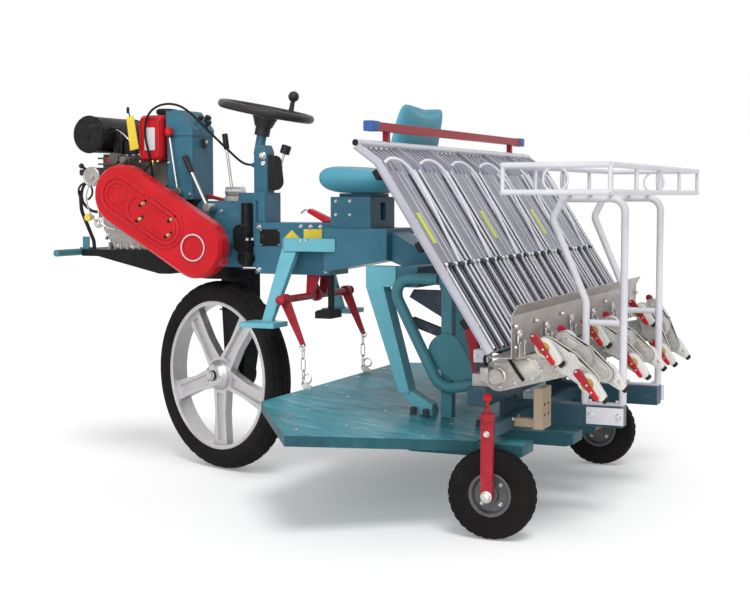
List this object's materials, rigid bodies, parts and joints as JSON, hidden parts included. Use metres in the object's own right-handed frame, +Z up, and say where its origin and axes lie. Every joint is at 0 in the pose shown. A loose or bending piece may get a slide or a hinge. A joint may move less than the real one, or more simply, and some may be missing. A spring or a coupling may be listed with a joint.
{
  "type": "riding rice transplanter",
  "caption": "Riding rice transplanter: steered drive wheel in front, pontoon below, sliding seedling tray and turning planting arms behind, rack above.",
  "frame": {"origin": "on the floor, under the middle of the machine's box", "axes": "+X forward, +Y to the driver's left, +Z up"},
  "size_m": [2.0459, 1.8, 1.3093],
  "materials": {
    "arm_cast": "off-white castings with red claws",
    "beige_paint": "satin beige primer",
    "black_plastic": "moulded black plastic",
    "black_steel": "matt black enamel",
    "bright_steel": "zinc plated",
    "cast_metal": "plain cast aluminium and iron",
    "dark_paint": "dark teal enamel",
    "dark_steel": "dark grey enamel",
    "deck_paint": "semi-gloss teal enamel, brushed on a flat board",
    "frame_paint": "semi-gloss teal enamel",
    "red_paint": "gloss red enamel",
    "rotor_cast": "plain castings",
    "rubber_pad": "ribbed rubber",
    "seat_shell": "moulded teal vinyl",
    "tray_sheet": "bright pressed sheet",
    "tyre_rubber": "worn black rubber",
    "wheel_cast": "satin cast aluminium",
    "white_paint": "gloss white enamel"
  },
  "bodies": {
    "root": {"air_canister": "black_steel", "basket": "white_paint", "belt_guard": "red_paint", "chains": "bright_steel", "column_boot": "rubber_pad", "cover_plates": "dark_steel", "engine": "cast_metal", "engine_base": "black_steel", "footrests": "frame_paint", "front_bumper": "frame_paint", "fuel_tank": "red_paint", "gear_post": "black_steel", "gearbox": "frame_paint", "hood_box": "frame_paint", "hood_stand": "black_steel", "lever_grips": "black_plastic", "levers": "bright_steel", "lift_shaft": "red_paint", "main_beam": "frame_paint", "pedals": "rubber_pad", "planting_cases": "cast_metal", "pontoon": "deck_paint", "rack_frames": "white_paint", "rear_legs": "frame_paint", "rear_tubes": "frame_paint", "seat": "seat_shell", "seat_box": "frame_paint", "side_bracket": "beige_paint", "steering_column": "frame_paint", "throttle_cable": "rubber_pad", "tool_frame": "dark_paint", "tray_rail": "bright_steel", "tray_support": "red_paint", "wheel_legs": "red_paint"},
    "steer": {"drive_leg": "black_steel"},
    "drive_wheel": {"drive_rim": "wheel_cast", "drive_tyre": "tyre_rubber"},
    "helm": {"steering_wheel": "black_plastic"},
    "wheel_left": {"tyre_left": "tyre_rubber", "hub_left": "dark_steel"},
    "wheel_right": {"tyre_right": "tyre_rubber", "hub_right": "dark_steel"},
    "tray": {"tray_floor": "tray_sheet", "tray_ribs": "tray_sheet", "tray_walls": "tray_sheet", "tray_frame": "tray_sheet", "tray_bar": "red_paint"},
    "rotor_left": {"rotor_left": "rotor_cast"},
    "arms_upper_left": {"arms_upper_left": "arm_cast"},
    "arms_lower_left": {"arms_lower_left": "arm_cast"},
    "rotor_middle": {"rotor_middle": "rotor_cast"},
    "arms_upper_middle": {"arms_upper_middle": "arm_cast"},
    "arms_lower_middle": {"arms_lower_middle": "arm_cast"},
    "rotor_right": {"rotor_right": "rotor_cast"},
    "arms_upper_right": {"arms_upper_right": "arm_cast"},
    "arms_lower_right": {"arms_lower_right": "arm_cast"}
  },
  "joints": [
    {"name": "steer_turn", "type": "hinge", "parent": "root", "child": "steer", "pos_m": [0.498, 0, 0.7], "axis": [0, 0, 1], "range_deg": [-19, 61]},
    {"name": "drive_spin", "type": "hinge", "parent": "steer", "child": "drive_wheel", "pos_m": [0.498, 0, 0.327], "axis": [0.3584, 0.9336, 0], "continuous": true},
    {"name": "helm_turn", "type": "hinge", "parent": "root", "child": "helm", "pos_m": [0.323, 0, 1.233], "axis": [-0.2079, 0, 0.9781], "range_deg": [-80, 250]},
    {"name": "wheel_left_spin", "type": "hinge", "parent": "root", "child": "wheel_left", "pos_m": [-0.69, 0.592, 0.1265], "axis": [0, 1, 0], "continuous": true},
    {"name": "wheel_right_spin", "type": "hinge", "parent": "root", "child": "wheel_right", "pos_m": [-0.69, -0.592, 0.1265], "axis": [0, 1, 0], "continuous": true},
    {"name": "tray_shift", "type": "slide", "parent": "root", "child": "tray", "axis": [0, 1, 0], "range_m": [-0.11, 0.11]},
    {"name": "rotor_middle_turn", "type": "hinge", "parent": "root", "child": "rotor_middle", "pos_m": [-0.905, 0, 0.5], "axis": [0, 1, 0], "continuous": true},
    {"name": "arms_upper_middle_turn", "type": "hinge", "parent": "rotor_middle", "child": "arms_upper_middle", "pos_m": [-0.845, 0, 0.545], "axis": [0, 1, 0], "continuous": true},
    {"name": "arms_lower_middle_turn", "type": "hinge", "parent": "rotor_middle", "child": "arms_lower_middle", "pos_m": [-0.965, 0, 0.455], "axis": [0, 1, 0], "continuous": true},
    {"name": "rotor_left_turn", "type": "hinge", "parent": "root", "child": "rotor_left", "pos_m": [-0.905, 0.51333, 0.5], "axis": [0, 1, 0], "continuous": true},
    {"name": "arms_upper_left_turn", "type": "hinge", "parent": "rotor_left", "child": "arms_upper_left", "pos_m": [-0.845, 0.51333, 0.545], "axis": [0, 1, 0], "continuous": true},
    {"name": "arms_lower_left_turn", "type": "hinge", "parent": "rotor_left", "child": "arms_lower_left", "pos_m": [-0.965, 0.51333, 0.455], "axis": [0, 1, 0], "continuous": true},
    {"name": "rotor_right_turn", "type": "hinge", "parent": "root", "child": "rotor_right", "pos_m": [-0.905, -0.51333, 0.5], "axis": [0, 1, 0], "continuous": true},
    {"name": "arms_upper_right_turn", "type": "hinge", "parent": "rotor_right", "child": "arms_upper_right", "pos_m": [-0.86849, -0.51333, 0.56551], "axis": [0, 1, 0], "continuous": true},
    {"name": "arms_lower_right_turn", "type": "hinge", "parent": "rotor_right", "child": "arms_lower_right", "pos_m": [-0.94151, -0.51333, 0.43449], "axis": [0, 1, 0], "continuous": true}
  ],
  "couplings": [
    {"joint": "helm_turn", "follows": "steer_turn", "ratio": 4},
    {"joint": "arms_upper_middle_turn", "follows": "rotor_middle_turn", "ratio": -1},
    {"joint": "arms_lower_middle_turn", "follows": "rotor_middle_turn", "ratio": -1},
    {"joint": "arms_upper_left_turn", "follows": "rotor_middle_turn", "ratio": -1},
    {"joint": "arms_lower_left_turn", "follows": "rotor_middle_turn", "ratio": -1},
    {"joint": "rotor_left_turn", "follows": "rotor_middle_turn", "ratio": 1},
    {"joint": "arms_upper_right_turn", "follows": "rotor_middle_turn", "ratio": -1},
    {"joint": "arms_lower_right_turn", "follows": "rotor_middle_turn", "ratio": -1},
    {"joint": "rotor_right_turn", "follows": "rotor_middle_turn", "ratio": 1}
  ]
}
